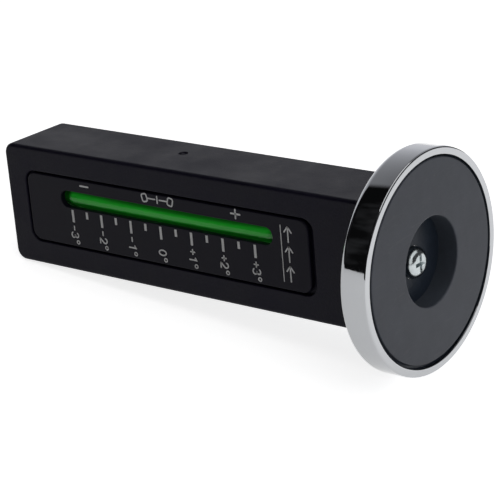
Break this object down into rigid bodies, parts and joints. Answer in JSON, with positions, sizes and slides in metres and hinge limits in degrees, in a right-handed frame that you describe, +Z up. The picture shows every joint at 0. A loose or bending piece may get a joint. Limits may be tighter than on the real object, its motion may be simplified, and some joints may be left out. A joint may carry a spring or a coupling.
{
  "type": "camber caster gauge",
  "caption": "Long moulded gauge with a spirit vial and degree scale on each long side, a knob that tilts the second vial, and a round magnet screwed across one end.",
  "frame": {"origin": "centre of the magnet's face, which is set against the wheel hub", "axes": "+X out of the magnet's face, along the housing's length and away from it; +Z up in use, across the housing's height; -Y out of the camber scale's side"},
  "size_m": [0.1567, 0.067, 0.067],
  "materials": {
    "moulding": "satin moulded",
    "face_plate": "fine satin",
    "chromed_steel": "polished",
    "ferrite": "ground, matt",
    "glue": "cast",
    "zinc_steel": "zinc plated",
    "bright_steel": "ground",
    "black_steel": "blackened",
    "brass": "turned",
    "white_ink": "printed",
    "white_moulding": "satin moulded",
    "putty": "matt",
    "clear_acrylic": "polished, clear",
    "green_plastic": "moulded",
    "green_fluid": "clear dyed fluid",
    "air": "clear",
    "knob": "satin moulded"
  },
  "bodies": {
    "housing_body": {"housing": "moulding", "magnet_cup": "chromed_steel", "magnet_ring": "ferrite", "magnet_glue": "glue", "magnet_screw": "zinc_steel", "threaded_insert": "brass", "camber_plate": "face_plate", "camber_scale": "white_ink", "camber_cradle": "white_moulding", "camber_vial_beds": "putty", "camber_tube": "clear_acrylic", "camber_tube_plugs": "green_plastic", "camber_fluid": "green_fluid", "caster_cover": "face_plate", "caster_cover_screws": "black_steel", "caster_scale": "white_ink", "pivot_pin": "bright_steel", "pivot_clip": "black_steel", "adjuster_bush": "brass", "friction_washer": "bright_steel"},
    "camber_bubble_body": {"camber_bubble": "air"},
    "carrier_body": {"caster_carrier": "white_moulding", "caster_tube": "clear_acrylic", "caster_tube_plugs": "green_plastic", "caster_fluid": "green_fluid"},
    "caster_bubble_body": {"caster_bubble": "air"},
    "adjuster_body": {"adjuster_shaft": "bright_steel", "adjuster_knob": "knob", "knob_set_screw": "black_steel"}
  },
  "joints": [
    {"name": "camber_bubble_run", "type": "hinge", "parent": "housing_body", "child": "camber_bubble_body", "pos_m": [-0.0903, -0.00645, -0.70213], "axis": [0, 1, 0], "range_deg": [-6.68, 0], "deforming": ["camber_fluid"]},
    {"name": "caster_tilt", "type": "hinge", "parent": "housing_body", "child": "carrier_body", "pos_m": [-0.0825, 0, -0.008], "axis": [0, 1, 0], "range_deg": [-3.01, 3.01]},
    {"name": "caster_bubble_run", "type": "hinge", "parent": "carrier_body", "child": "caster_bubble_body", "pos_m": [-0.0825, 0.0061, -0.39847], "axis": [0, 1, 0], "range_deg": [-8.31, 0], "deforming": ["caster_fluid"]},
    {"name": "adjuster_turn", "type": "hinge", "parent": "housing_body", "child": "adjuster_body", "pos_m": [-0.139, 0, 0], "axis": [0, 1, 0], "range_deg": [-50, 50]}
  ],
  "couplings": [
    {"joint": "caster_tilt", "follows": "adjuster_turn", "ratio": -0.06}
  ]
}
